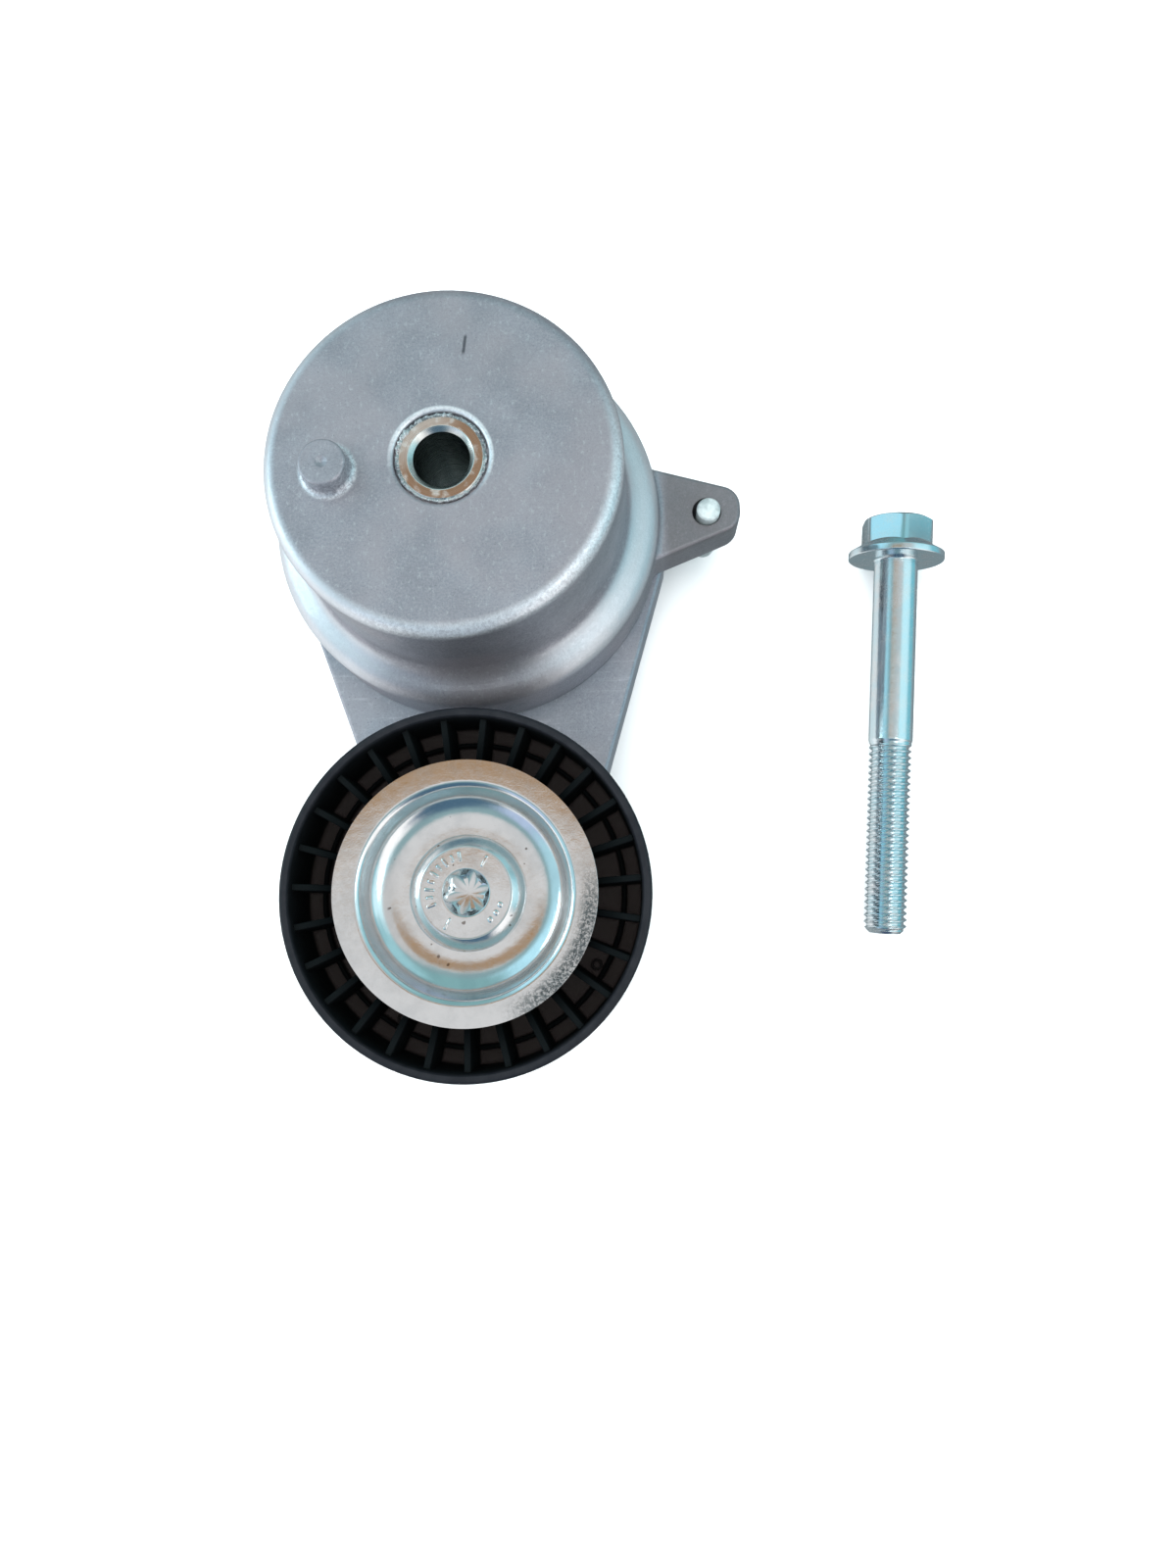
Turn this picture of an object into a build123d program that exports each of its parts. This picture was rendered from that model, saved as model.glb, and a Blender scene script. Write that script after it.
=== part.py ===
from build123d import *
import os
from math import asin, atan, cos, hypot, radians, sin

# Belt tensioner with a smooth idler pulley. All sizes are in millimetres.
#
# The origin is the centre of the flat face that bolts to the engine, on the pivot axis.
# +Z points at the engine, and the arm runs along -Y to the pulley. The front of the arm
# stands on a table at z = table_z, and the loose mounting bolt lies beside it there.

# Heights, counted down from the engine face
table_z = -67.0
seam_z = -47.5            # joint plane of the housing and the arm
seam_gap = 0.4
hub_floor_z = -60.9       # bottom of the recess that holds the front plate
pulley_mid_z = -23.0

# Spring housing
cup_r = 35.2
rim_r = 42.2
cup_cavity_r = 32.0
rim_cavity_r = 39.0
cup_roof = 5.0
cup_foot_z = -28.4        # where the cup's side and the shoulder would meet
shoulder_z = -31.2        # where the shoulder and the rim's side would meet
housing_hub_r = 14.0
housing_hub_z = -22.0
seat_recess_r = 9.2       # shallow recess round the tube's staked end
seat_recess_z = -1.3
post_at = (-21.9, -1.4)
post_r = 4.55
post_root_r = 5.9
post_height = 4.7
post_edge = 0.5
ear_height = 10.8
ear_hole_at = (52.9, -0.8)
ear_hole_r = 3.2
ear_root = 1.6            # fillet where the ear meets the rim

# Pivot
tube_r = 8.5
tube_bore_r = 5.5
tube_rear_z = -0.3
tube_front_z = -66.2
tube_mouth = 0.9          # chamfer at the engine end of the bore
tube_collar_r = 9.6       # staked over the front plate
plate_t = 3.0
plate_r = 24.0
washer_t = 1.4
bush_outer_r = 10.5
bush_inner_r = 8.56
bush_length = 14.0

# Tension arm
arm_hub_r = 42.3
arm_tip_r = 16.5
arm_right_extra = 1.3     # how much further out the side below the ear stands
arm_plate_t = 7.0
skirt_z = -62.0
skirt_t = 3.5
rib_width = 2.6
hub_ring_r = 30.0
arm_boss_r = 15.0
arm_boss_z = -24.0
pulley_y = -82.8          # from the pivot to the pulley's axis
spindle_r = 12.0
spigot_r = 8.49
wrench_across = 16.0      # cast hexagon that a wrench turns the arm by
lug_face_y = 1.9

# Torsion spring and its damper
wire_r = 2.8
coil_r = 25.0
coil_turns = 5.25
coil_slack = 0.1
seat_t = 2.0
seat_width = 8.0
spring_pad = 1.2
stop_arc = 14.0
stop_height = 5.0
shoe_outer_r = 38.9
shoe_t = 3.3
shoe_band_t = 1.2
shoe_top_z = -36.5
shoe_arc = 290.0
shoe_start = 215.0
driver_t = 4.0            # lug on the arm that stands in the shoe's gap
driver_height = 10.0

# Deep-groove ball bearing, 40 x 17 x 12
bearing_outer_r = 20.0
bearing_bore_r = 8.5
bearing_width = 12.0
ball_r = 6.747 / 2
ball_circle_r = 14.25
ball_count = 8
groove_r = 3.45
inner_land_r = 12.2
outer_land_r = 16.3
seal_t = 0.8
seal_inset = 0.3
seal_gap = 0.15
cage_t = 1.7
cage_height = 8.4

# Pulley
pulley_r = 36.0
pulley_width = 26.0
rim_t = 2.0
rib_count = 27
rib_t = 1.4
rib_start = 2.0           # angle of the first rib, from +X
rib_inset = 2.0
hub_r = 24.5
mid_ring_r = 30.5
mid_ring_t = 1.0
mid_ring_height = 6.6
web_t = 3.0
web_z = -26.5             # middle of the web that closes the pockets
sheet_t = 1.0             # pressed steel of the dust cover and the dust shield
cover_depth = 5.6         # from the cover's flat rim down to its clamped middle

# Fasteners
flange_r = 11.4           # pulley bolt
head_r = 9.0
head_height = 3.5
flange_edge = 1.4
socket_depth = 5.0
m10_r = 5.0
pulley_bolt_length = 30.0
pin_at = (53.2, -1.0)
pin_r = 2.6
pin_top_z = -34.0
pin_foot_z = -60.0
bolt_at = (98.1, -8.55)   # centre of the loose bolt's bearing face, in plan
bolt_yaw = 5.55           # its shank points this far from -Y towards -X
bolt_length = 87.3
bolt_flange_r = 11.0
bolt_flange_t = 1.6
bolt_hex_across = 15.0
bolt_head_height = 9.6
bolt_tip = 1.5

housing_rim_z = seam_z + seam_gap / 2
ear_top_z = housing_rim_z + ear_height
arm_top_z = seam_z - seam_gap / 2
arm_plate_z = arm_top_z - arm_plate_t
lug_front_z = arm_plate_z - 3.3
arm_reach = -pulley_y
pulley_axis = (0, pulley_y)
pulley_section = Plane((0, pulley_y, 0), x_dir=(1, 0, 0), z_dir=(0, -1, 0))
pulley_turn = Axis((0, pulley_y, 0), (0, 0, 1))
bearing_front_z = pulley_mid_z + bearing_width / 2
bearing_rear_z = pulley_mid_z - bearing_width / 2
head_seat_z = bearing_front_z + sheet_t
head_top_z = head_seat_z + head_height
spindle_top_z = bearing_rear_z - sheet_t
coil_low_z = arm_top_z + spring_pad + wire_r + coil_slack
coil_high_z = -cup_roof - seat_t - wire_r - coil_slack
pulley_front_z = pulley_mid_z + pulley_width / 2
pulley_rear_z = pulley_mid_z - pulley_width / 2


def radial_plane(angle):
    """Upright plane through the pivot axis: its x runs outward at this angle, its y up."""
    a = radians(angle)
    return Plane((0, 0, 0), x_dir=(cos(a), sin(a), 0), z_dir=(sin(a), -cos(a), 0))


def arm_sides(hub, tip, lead=0.0):
    """Corners of the arm's straight-sided stretch, whose sides are tangents of two circles.

    The right side stands further out, and starts this far above its tangent point.
    """
    lean = asin((hub - tip) / -pulley_y)
    across, down = cos(lean), -sin(lean)
    right_hub, right_tip = hub + arm_right_extra, tip + arm_right_extra
    return [
        (hub - arm_right_extra, 0),
        (right_hub * across - lead * down, right_hub * down + lead * across),
        (right_tip * across, pulley_y + right_tip * down),
        (-tip * across, pulley_y + tip * down), (-hub * across, hub * down),
    ]


def on_rim_side(edge):
    """Whether an edge ends on the outside of the housing's rim."""
    return all(abs(hypot(v.X, v.Y) - rim_r) < 0.01 for v in edge.vertices())


os.makedirs("parts", exist_ok=True)


# ---- Spring housing: a cast cup with a shoulder, a locating post and a pierced ear ----
with BuildPart() as spring_housing:
    with BuildSketch(Plane.XY.offset(housing_rim_z)):
        with BuildLine():
            FilletPolyline(
                (36.5, 11.6), (60.4, 3.9), (60.3, -4.1), (36.5, -12.7),
                radius=[0, 4.5, 4.5, 0], close=True,
            )
        make_face()
    extrude(amount=ear_height)
    fillet(spring_housing.edges().group_by(Axis.Z)[-1], 0.8)
    with BuildSketch(Plane.XZ):
        with BuildLine():
            FilletPolyline(
                (0, 0), (cup_r, 0), (cup_r, cup_foot_z), (rim_r, shoulder_z),
                (rim_r, housing_rim_z), (0, housing_rim_z),
                radius=[0, 3.0, 5.0, 4.5, 0, 0], close=True,
            )
        make_face()
    revolve(axis=Axis.Z)
    roots = spring_housing.edges().filter_by(on_rim_side)
    roots = roots.filter_by_position(Axis.X, 38, 43)
    fillet(roots.filter_by_position(Axis.Z, housing_rim_z + 1, ear_top_z + 0.1), ear_root)
    with BuildSketch(Plane.XY.offset(ear_top_z)):
        with Locations(ear_hole_at):
            Circle(ear_hole_r)
    extrude(amount=-ear_height, mode=Mode.SUBTRACT)
    # Cavity for the coil above and the damper below, around a hub for the tube
    with BuildSketch(Plane.XZ):
        with BuildLine():
            FilletPolyline(
                (housing_hub_r, -cup_roof), (cup_cavity_r, -cup_roof),
                (cup_cavity_r, shoulder_z - 0.2), (rim_cavity_r, shoulder_z - 3.0),
                (rim_cavity_r, housing_rim_z), (0, housing_rim_z),
                (0, housing_hub_z), (housing_hub_r, housing_hub_z),
                radius=[2.0, 3.0, 3.0, 1.5, 0, 0, 0, 1.0], close=True,
            )
        make_face()
    revolve(axis=Axis.Z, mode=Mode.SUBTRACT)
    # Stop that the coil's upper end pushes on
    with BuildSketch(radial_plane(coil_turns * 360 + 1)):
        with Locations((coil_r, -cup_roof - (seat_t + stop_height) / 2)):
            Rectangle(2 * wire_r, seat_t + stop_height)
    revolve(axis=Axis.Z, revolution_arc=stop_arc)
    # Seat for the pivot tube, with a round-edged recess where the tube is staked
    with BuildSketch(Plane.XZ):
        with BuildLine():
            Polyline((0, housing_hub_z), (tube_r, housing_hub_z), (tube_r, seat_recess_z),
                     (seat_recess_r, seat_recess_z), (seat_recess_r, 0), (0, 0), close=True)
        make_face()
    revolve(axis=Axis.Z, mode=Mode.SUBTRACT)
    recess_edge = spring_housing.edges().filter_by(GeomType.CIRCLE)
    recess_edge = recess_edge.filter_by_position(Axis.Z, -0.01, 0.01)
    fillet(recess_edge.filter_by(lambda edge: abs(edge.radius - seat_recess_r) < 0.01), 0.8)
    # Locating post with a flared root, a rounded top and a centre mark
    with BuildSketch(Plane(post_at + (0,), x_dir=(1, 0, 0), z_dir=(0, -1, 0))):
        with BuildLine():
            FilletPolyline(
                (0, -1), (post_root_r, -1), (post_root_r, 0), (post_r, 0),
                (post_r, post_height), (1.2, post_height), (0, post_height - 0.5),
                radius=[0, 0, 0, post_root_r - post_r - 0.01, post_edge, 0, 0],
                close=True,
            )
        make_face()
    revolve(axis=Axis(post_at + (0,), (0, 0, 1)))
spring_housing.part.label = "spring_housing"
export_step(spring_housing.part, "parts/spring_housing.step")


# ---- Pivot: steel tube, front plate, bushes and thrust washer ----
with BuildPart() as pivot_tube:
    with BuildSketch(Plane.XZ):
        with BuildLine():
            Polyline(
                (tube_bore_r, tube_front_z + 0.8), (tube_bore_r + 0.8, tube_front_z),
                (tube_collar_r - 0.4, tube_front_z), (tube_collar_r, tube_front_z + 0.4),
                (tube_collar_r, tube_front_z + 0.8), (tube_r, tube_front_z + 0.8),
                (tube_r, tube_rear_z - 0.4), (tube_r - 0.4, tube_rear_z),
                (tube_bore_r + tube_mouth, tube_rear_z),
                (tube_bore_r, tube_rear_z - tube_mouth), close=True,
            )
        make_face()
    revolve(axis=Axis.Z)
pivot_tube.part.label = "pivot_tube"
export_step(pivot_tube.part, "parts/pivot_tube.step")

plate_front_z = tube_front_z + 0.8
with BuildPart() as front_plate:
    with BuildSketch(Plane.XY.offset(plate_front_z)):
        Circle(plate_r)
        Circle(tube_r, mode=Mode.SUBTRACT)
    extrude(amount=plate_t)
    chamfer(front_plate.edges().filter_by(GeomType.CIRCLE).group_by(Axis.Z)[0]
            .sort_by(SortBy.RADIUS)[-1:], 0.6)
front_plate.part.label = "front_plate"
export_step(front_plate.part, "parts/front_plate.step")

with BuildPart() as thrust_washer:
    with BuildSketch(Plane.XY.offset(plate_front_z + plate_t + 0.05)):
        Circle(plate_r - 0.5)
        Circle(tube_r + 0.5, mode=Mode.SUBTRACT)
    extrude(amount=washer_t)
thrust_washer.part.label = "thrust_washer"
export_step(thrust_washer.part, "parts/thrust_washer.step")

with BuildPart() as front_bush:
    with BuildSketch(Plane.XY.offset(hub_floor_z)):
        Circle(bush_outer_r)
        Circle(bush_inner_r, mode=Mode.SUBTRACT)
    extrude(amount=bush_length)
front_bush.part.label = "front_bush"
export_step(front_bush.part, "parts/front_bush.step")

with BuildPart() as rear_bush:
    with BuildSketch(Plane.XY.offset(arm_boss_z - bush_length)):
        Circle(bush_outer_r)
        Circle(bush_inner_r, mode=Mode.SUBTRACT)
    extrude(amount=bush_length)
rear_bush.part.label = "rear_bush"
export_step(rear_bush.part, "parts/rear_bush.step")


# ---- Tension arm: a ribbed casting with the pivot boss and the pulley spindle ----
with BuildPart() as tension_arm:
    with BuildSketch(Plane.XY.offset(skirt_z)):
        Circle(arm_hub_r)
        with Locations((arm_right_extra / 2, pulley_y)):
            Circle(arm_tip_r + arm_right_extra / 2)
        Polygon(*arm_sides(arm_hub_r, arm_tip_r, lead=6.5), align=None)
    extrude(amount=arm_top_z - skirt_z)
    chamfer(tension_arm.faces().sort_by(Axis.Z)[-1].outer_wire().edges(), 0.6)
    # Hub ring and wrench hexagon, which the part stands on
    with BuildSketch(Plane.XY.offset(table_z)):
        Circle(hub_ring_r)
        with Locations(pulley_axis):
            RegularPolygon(wrench_across / 2, 6, major_radius=False)
    extrude(amount=skirt_z - table_z)
    # Pockets in the front, which leave the skirt, the ribs and the two bosses standing
    with BuildSketch(Plane.XY.offset(skirt_z)):
        Circle(arm_hub_r - skirt_t)
        with Locations(pulley_axis):
            Circle(arm_tip_r - skirt_t)
        Polygon(*arm_sides(arm_hub_r - skirt_t, arm_tip_r - skirt_t), align=None)
        Circle(hub_ring_r + 1.0, mode=Mode.SUBTRACT)
        with Locations(pulley_axis):
            Circle(spindle_r + 1.0, mode=Mode.SUBTRACT)
        with Locations((0, -arm_reach / 2)):
            with GridLocations(13.0, 1, 3, 1):
                Rectangle(rib_width, arm_reach, mode=Mode.SUBTRACT)
        with PolarLocations(arm_hub_r - 8, 9, start_angle=10, angular_range=200):
            Rectangle(14, rib_width, mode=Mode.SUBTRACT)
    extrude(amount=arm_plate_z - skirt_z, mode=Mode.SUBTRACT)
    # Pivot boss and the raised pad under the coil
    with BuildSketch(Plane.XY.offset(arm_plate_z)):
        Circle(arm_boss_r)
    extrude(amount=arm_boss_z - arm_plate_z)
    with BuildSketch(Plane.XY.offset(arm_top_z)):
        Circle(coil_r + seat_width / 2)
        Circle(coil_r - seat_width / 2, mode=Mode.SUBTRACT)
    extrude(amount=spring_pad)
    # Stop that the coil's lower end pushes on
    with BuildSketch(radial_plane(-1 - stop_arc)):
        with Locations((coil_r, arm_top_z + (spring_pad + stop_height) / 2)):
            Rectangle(2 * wire_r, spring_pad + stop_height)
    revolve(axis=Axis.Z, revolution_arc=stop_arc)
    # Driver that turns the damper's shoe, standing in the shoe's gap
    with BuildSketch(radial_plane(shoe_start + shoe_arc + 1)):
        with Locations((shoe_outer_r - driver_t / 2 - 0.6, arm_top_z + driver_height / 2 - 0.5)):
            Rectangle(driver_t, driver_height)
    revolve(axis=Axis.Z, revolution_arc=360 - shoe_arc - 2)
    # Lug that rests against the lock pin, hidden under the housing's ear
    with BuildSketch(Plane.XY.offset(lug_front_z)):
        with BuildLine():
            FilletPolyline(
                (40, lug_face_y), (57, lug_face_y), (57, 7.0), (40, 12.5),
                radius=[0, 1.5, 3.5, 0], close=True,
            )
        make_face()
    extrude(amount=arm_top_z - 0.4 - lug_front_z)
    # Spindle and spigot for the bearing
    with BuildSketch(Plane.XY.offset(skirt_z)):
        with Locations(pulley_axis):
            Circle(spindle_r)
    extrude(amount=spindle_top_z - skirt_z)
    with BuildSketch(Plane.XY.offset(spindle_top_z)):
        with Locations(pulley_axis):
            Circle(spigot_r)
    extrude(amount=bearing_width)
    foot = tension_arm.edges().filter_by(GeomType.CIRCLE).filter_by_position(
        Axis.Z, arm_top_z - 0.01, arm_top_z + 0.01)
    fillet(foot.filter_by(lambda edge: abs(edge.radius - spindle_r) < 0.01), 2.5)
    # Bore for the bushes, recess for the front plate and the pulley bolt's hole
    with BuildSketch(Plane.XY.offset(table_z)):
        Circle(bush_outer_r)
    extrude(amount=arm_boss_z - table_z, mode=Mode.SUBTRACT)
    with BuildSketch(Plane.XY.offset(table_z)):
        Circle(plate_r + 1.0)
    extrude(amount=hub_floor_z - table_z, mode=Mode.SUBTRACT)
    with BuildSketch(Plane.XY.offset(spindle_top_z + bearing_width)):
        with Locations(pulley_axis):
            Circle(m10_r + 0.01)
    extrude(amount=-pulley_bolt_length, mode=Mode.SUBTRACT)
tension_arm.part.label = "tension_arm"
export_step(tension_arm.part, "parts/tension_arm.step")


# ---- Torsion spring, the seat above it, and the damper round the arm's rim ----
with BuildPart() as torsion_spring:
    with BuildLine() as coil:
        Helix(
            pitch=(coil_high_z - coil_low_z) / coil_turns,
            height=coil_high_z - coil_low_z,
            radius=coil_r,
            center=(0, 0, coil_low_z),
        )
    with BuildSketch(Plane(coil.edge() @ 0, z_dir=coil.edge() % 0)):
        Circle(wire_r)
    sweep(is_frenet=True)
torsion_spring.part.label = "torsion_spring"
export_step(torsion_spring.part, "parts/torsion_spring.step")

with BuildPart() as spring_seat:
    with BuildSketch(radial_plane(coil_turns * 360 + stop_arc + 3)):
        with Locations((coil_r, -cup_roof - seat_t / 2)):
            Rectangle(seat_width, seat_t)
    revolve(axis=Axis.Z, revolution_arc=360 - stop_arc - 4)
spring_seat.part.label = "spring_seat"
export_step(spring_seat.part, "parts/spring_seat.step")

shoe_height = shoe_top_z - arm_top_z - 0.8
shoe_mid_z = shoe_top_z - shoe_height / 2
with BuildPart() as damping_shoe:
    with BuildSketch(radial_plane(shoe_start)):
        with Locations((shoe_outer_r - shoe_t / 2, shoe_mid_z)):
            Rectangle(shoe_t, shoe_height)
    revolve(axis=Axis.Z, revolution_arc=shoe_arc)
damping_shoe.part.label = "damping_shoe"
export_step(damping_shoe.part, "parts/damping_shoe.step")

with BuildPart() as shoe_band:
    with BuildSketch(radial_plane(shoe_start)):
        with Locations((shoe_outer_r - shoe_t - shoe_band_t / 2, shoe_mid_z)):
            Rectangle(shoe_band_t, shoe_height - 1.0)
    revolve(axis=Axis.Z, revolution_arc=shoe_arc)
shoe_band.part.label = "shoe_band"
export_step(shoe_band.part, "parts/shoe_band.step")


# ---- Ball bearing ----
with BuildPart() as bearing_inner_ring:
    with BuildSketch(Plane.XY.offset(bearing_rear_z)):
        with Locations(pulley_axis):
            Circle(inner_land_r)
            Circle(bearing_bore_r, mode=Mode.SUBTRACT)
    extrude(amount=bearing_width)
    with BuildSketch(pulley_section):
        with Locations((ball_circle_r, pulley_mid_z)):
            Circle(groove_r)
    revolve(axis=pulley_turn, mode=Mode.SUBTRACT)
bearing_inner_ring.part.label = "bearing_inner_ring"
export_step(bearing_inner_ring.part, "parts/bearing_inner_ring.step")

with BuildPart() as bearing_outer_ring:
    with BuildSketch(Plane.XY.offset(bearing_rear_z)):
        with Locations(pulley_axis):
            Circle(bearing_outer_r)
            Circle(outer_land_r, mode=Mode.SUBTRACT)
    extrude(amount=bearing_width)
    with BuildSketch(pulley_section):
        with Locations((ball_circle_r, pulley_mid_z)):
            Circle(groove_r)
    revolve(axis=pulley_turn, mode=Mode.SUBTRACT)
bearing_outer_ring.part.label = "bearing_outer_ring"
export_step(bearing_outer_ring.part, "parts/bearing_outer_ring.step")

with BuildPart() as bearing_balls:
    with Locations((0, pulley_y, pulley_mid_z)):
        with PolarLocations(ball_circle_r, ball_count):
            Sphere(ball_r)
bearing_balls.part.label = "bearing_balls"
export_step(bearing_balls.part, "parts/bearing_balls.step")

with BuildPart() as bearing_cage:
    with BuildSketch(Plane.XY.offset(pulley_mid_z - cage_height / 2)):
        with Locations(pulley_axis):
            Circle(ball_circle_r + cage_t / 2)
            Circle(ball_circle_r - cage_t / 2, mode=Mode.SUBTRACT)
    extrude(amount=cage_height)
    with Locations((0, pulley_y, pulley_mid_z)):
        with PolarLocations(ball_circle_r, ball_count):
            Cylinder(ball_r + 0.1, 3 * cage_t, rotation=(0, 90, 0), mode=Mode.SUBTRACT)
bearing_cage.part.label = "bearing_cage"
export_step(bearing_cage.part, "parts/bearing_cage.step")

seal_heights = {
    "bearing_seal_front": bearing_front_z - seal_inset - seal_t,
    "bearing_seal_rear": bearing_rear_z + seal_inset,
}
for seal_name, seal_z in seal_heights.items():
    with BuildPart() as seal:
        with BuildSketch(Plane.XY.offset(seal_z)):
            with Locations(pulley_axis):
                Circle(outer_land_r)
                Circle(inner_land_r + seal_gap, mode=Mode.SUBTRACT)
        extrude(amount=seal_t)
    seal.part.label = seal_name
    export_step(seal.part, f"parts/{seal_name}.step")


# ---- Pulley: moulded round the bearing, with a smooth rim, ribs and a middle ring ----
with BuildPart() as pulley:
    lip_r = bearing_outer_r - 1.1
    lip_z = bearing_front_z + 0.6
    with BuildSketch(pulley_section):
        # Hub, which grips the bearing and opens out under the dust cover
        with BuildLine():
            Polyline(
                (bearing_outer_r, bearing_rear_z), (lip_r, bearing_rear_z),
                (lip_r, bearing_rear_z - 0.6), (hub_r, bearing_rear_z - 0.6),
                (hub_r, bearing_front_z + 4.0), (hub_r - 1.9, bearing_front_z + 4.0),
                (bearing_outer_r + 0.2, lip_z), (lip_r, lip_z),
                (lip_r, bearing_front_z), (bearing_outer_r, bearing_front_z), close=True,
            )
        make_face()
        # Rim with eased edges
        with BuildLine():
            FilletPolyline(
                (pulley_r - rim_t, pulley_rear_z), (pulley_r, pulley_rear_z),
                (pulley_r, pulley_front_z), (pulley_r - rim_t, pulley_front_z),
                radius=[0.3, 0.7, 0.7, 0.3], close=True,
            )
        make_face()
        with Locations(((hub_r + pulley_r) / 2 - 0.5, web_z)):
            Rectangle(pulley_r - hub_r - rim_t + 1.5, web_t)
        with Locations((mid_ring_r, web_z)):
            Rectangle(mid_ring_t, mid_ring_height)
    revolve(axis=pulley_turn)
    rib_reach = pulley_r - rim_t - hub_r
    with BuildSketch(Plane.XY.offset(pulley_rear_z + rib_inset)):
        with Locations(pulley_axis):
            with PolarLocations(hub_r + rib_reach / 2, rib_count, start_angle=rib_start):
                Rectangle(rib_reach + 0.6, rib_t)
    extrude(amount=pulley_width - 2 * rib_inset)
pulley.part.label = "pulley"
export_step(pulley.part, "parts/pulley.step")


# ---- Pressed dust cover in front of the bearing and dust shield behind it ----
with BuildPart() as dust_cover:
    with BuildSketch(pulley_section):
        mid_z = head_seat_z - sheet_t / 2
        with BuildLine():
            FilletPolyline(
                (m10_r + 0.1, mid_z), (15.0, mid_z), (18.75, mid_z + 0.55),
                (21.07, mid_z + cover_depth), (25.65, mid_z + cover_depth),
                radius=[14.0, 4.7, 1.0],
            )
        trace(line_width=sheet_t)
    revolve(axis=pulley_turn)
dust_cover.part.label = "dust_cover"
export_step(dust_cover.part, "parts/dust_cover.step")

with BuildPart() as dust_shield:
    with BuildSketch(pulley_section):
        mid_z = bearing_rear_z - sheet_t / 2
        with BuildLine():
            FilletPolyline(
                (bearing_bore_r, mid_z), (12.8, mid_z), (14.0, mid_z - 1.3),
                (23.8, mid_z - 1.3),
                radius=[0.8, 0.8],
            )
        trace(line_width=sheet_t)
    revolve(axis=pulley_turn)
dust_shield.part.label = "dust_shield"
export_step(dust_shield.part, "parts/dust_shield.step")


# ---- Fasteners ----
with BuildPart() as pulley_bolt:
    with BuildSketch(pulley_section):
        with BuildLine():
            Polyline(
                (0, head_seat_z - pulley_bolt_length), (m10_r - 1, head_seat_z - pulley_bolt_length),
                (m10_r, head_seat_z - pulley_bolt_length + 1), (m10_r, head_seat_z),
                (flange_r, head_seat_z), (flange_r, head_seat_z + flange_edge),
                (head_r, head_top_z), (0, head_top_z), close=True,
            )
        make_face()
    revolve(axis=pulley_turn)
    with BuildSketch(Plane.XY.offset(head_top_z)):
        with Locations(pulley_axis):
            Circle(3.5)
            with PolarLocations(3.4, 6, start_angle=12):
                Circle(1.0)
    extrude(amount=-socket_depth, mode=Mode.SUBTRACT)
pulley_bolt.part.label = "pulley_bolt"
export_step(pulley_bolt.part, "parts/pulley_bolt.step")

with BuildPart() as lock_pin:
    with BuildSketch(Plane.XY.offset(pin_foot_z)):
        with Locations(pin_at):
            Circle(pin_r)
    extrude(amount=pin_top_z - pin_foot_z)
    chamfer(lock_pin.edges().filter_by(GeomType.CIRCLE), 0.4)
lock_pin.part.label = "lock_pin"
export_step(lock_pin.part, "parts/lock_pin.step")

# The loose bolt rests on the edge of its flange and on the last thread of its tip.
bolt_tilt = atan((bolt_flange_r - m10_r) / (bolt_length - bolt_tip))
bolt_axis = (
    -sin(radians(bolt_yaw)) * cos(bolt_tilt),
    -cos(radians(bolt_yaw)) * cos(bolt_tilt),
    -sin(bolt_tilt),
)
bolt_side = (cos(radians(bolt_yaw)), -sin(radians(bolt_yaw)), 0)
bolt_base = bolt_at + (table_z + bolt_flange_r * cos(bolt_tilt),)
bolt_plane = Plane(bolt_base, x_dir=bolt_side, z_dir=bolt_axis)
with BuildPart() as mounting_bolt:
    with BuildSketch(bolt_plane):
        Circle(m10_r)
    extrude(amount=bolt_length)
    chamfer(mounting_bolt.faces().sort_by(Axis.Y)[0].edges(), bolt_tip)
    with BuildSketch(bolt_plane):
        Circle(bolt_flange_r)
    extrude(amount=-bolt_flange_t)
    with BuildSketch(bolt_plane.offset(-bolt_flange_t)):
        Circle(bolt_flange_r)
    extrude(amount=-2.0, taper=60)
    with BuildSketch(bolt_plane.offset(-bolt_flange_t)):
        RegularPolygon(bolt_hex_across / 2, 6, major_radius=False, rotation=30)
    extrude(amount=bolt_flange_t - bolt_head_height)
mounting_bolt.part.label = "mounting_bolt"
export_step(mounting_bolt.part, "parts/mounting_bolt.step")
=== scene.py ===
from math import asin, atan, cos, hypot, pi, radians, sin, tan

import bmesh
import bpy
from mathutils import Matrix, Vector, noise


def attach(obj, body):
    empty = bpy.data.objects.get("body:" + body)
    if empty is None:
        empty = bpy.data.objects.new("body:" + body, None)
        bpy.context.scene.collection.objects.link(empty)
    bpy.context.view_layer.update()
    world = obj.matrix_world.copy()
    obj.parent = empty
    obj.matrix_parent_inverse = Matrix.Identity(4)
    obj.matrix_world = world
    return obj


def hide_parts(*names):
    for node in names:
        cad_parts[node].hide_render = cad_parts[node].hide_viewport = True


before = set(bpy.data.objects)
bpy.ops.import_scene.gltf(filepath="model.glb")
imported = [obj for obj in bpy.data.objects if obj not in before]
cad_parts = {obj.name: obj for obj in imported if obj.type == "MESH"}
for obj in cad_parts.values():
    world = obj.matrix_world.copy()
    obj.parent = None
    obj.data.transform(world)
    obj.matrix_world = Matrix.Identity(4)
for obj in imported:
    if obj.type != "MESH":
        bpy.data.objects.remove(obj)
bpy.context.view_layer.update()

scene = bpy.context.scene
MM = 0.001
FULL_TURN = 2 * pi

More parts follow.
